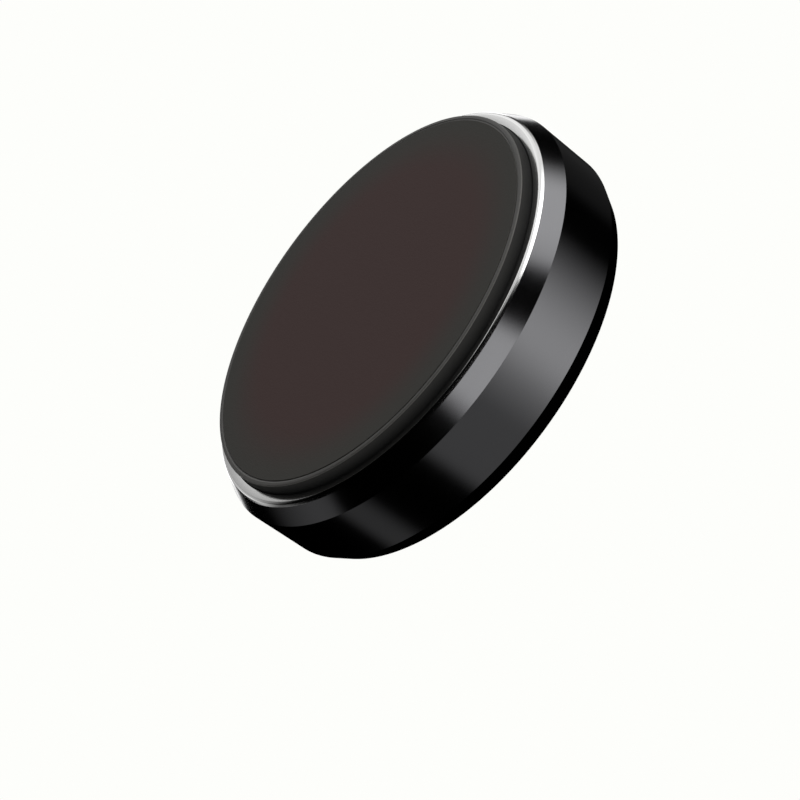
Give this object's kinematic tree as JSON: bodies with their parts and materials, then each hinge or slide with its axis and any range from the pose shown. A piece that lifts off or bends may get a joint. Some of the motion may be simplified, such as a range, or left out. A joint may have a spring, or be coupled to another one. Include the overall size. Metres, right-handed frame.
{
  "type": "magnetic phone mount",
  "caption": "Round, flat magnetic mount that sticks to a dashboard and holds a phone on its raised soft face pad.",
  "frame": {"origin": "centre of the mounting tape's lower face, which lies on the dashboard", "axes": "+Z along the mount's axis, out of the face pad; X and Y lie in the dashboard plane, with +X through the middle of one of the ring magnets"},
  "size_m": [0.032, 0.032, 0.008],
  "materials": {
    "anodised_aluminium": "glossy black anodised, with a bare cut ledge at the rim",
    "black_silicone": "matte",
    "adhesive_film": "satin",
    "carrier_plastic": "moulded satin",
    "nickel_plate": "bright plated",
    "zinc_plated_steel": "rolled, zinc plated",
    "foam_tape": "matte foam"
  },
  "bodies": {
    "root": {"housing": "anodised_aluminium", "face_pad": "black_silicone", "pad_tape": "adhesive_film", "magnet_carrier": "carrier_plastic", "centre_magnet": "nickel_plate", "ring_magnet_1": "nickel_plate", "ring_magnet_2": "nickel_plate", "ring_magnet_3": "nickel_plate", "ring_magnet_4": "nickel_plate", "ring_magnet_5": "nickel_plate", "ring_magnet_6": "nickel_plate", "steel_plate": "zinc_plated_steel", "mounting_tape": "foam_tape"}
  },
  "joints": []
}
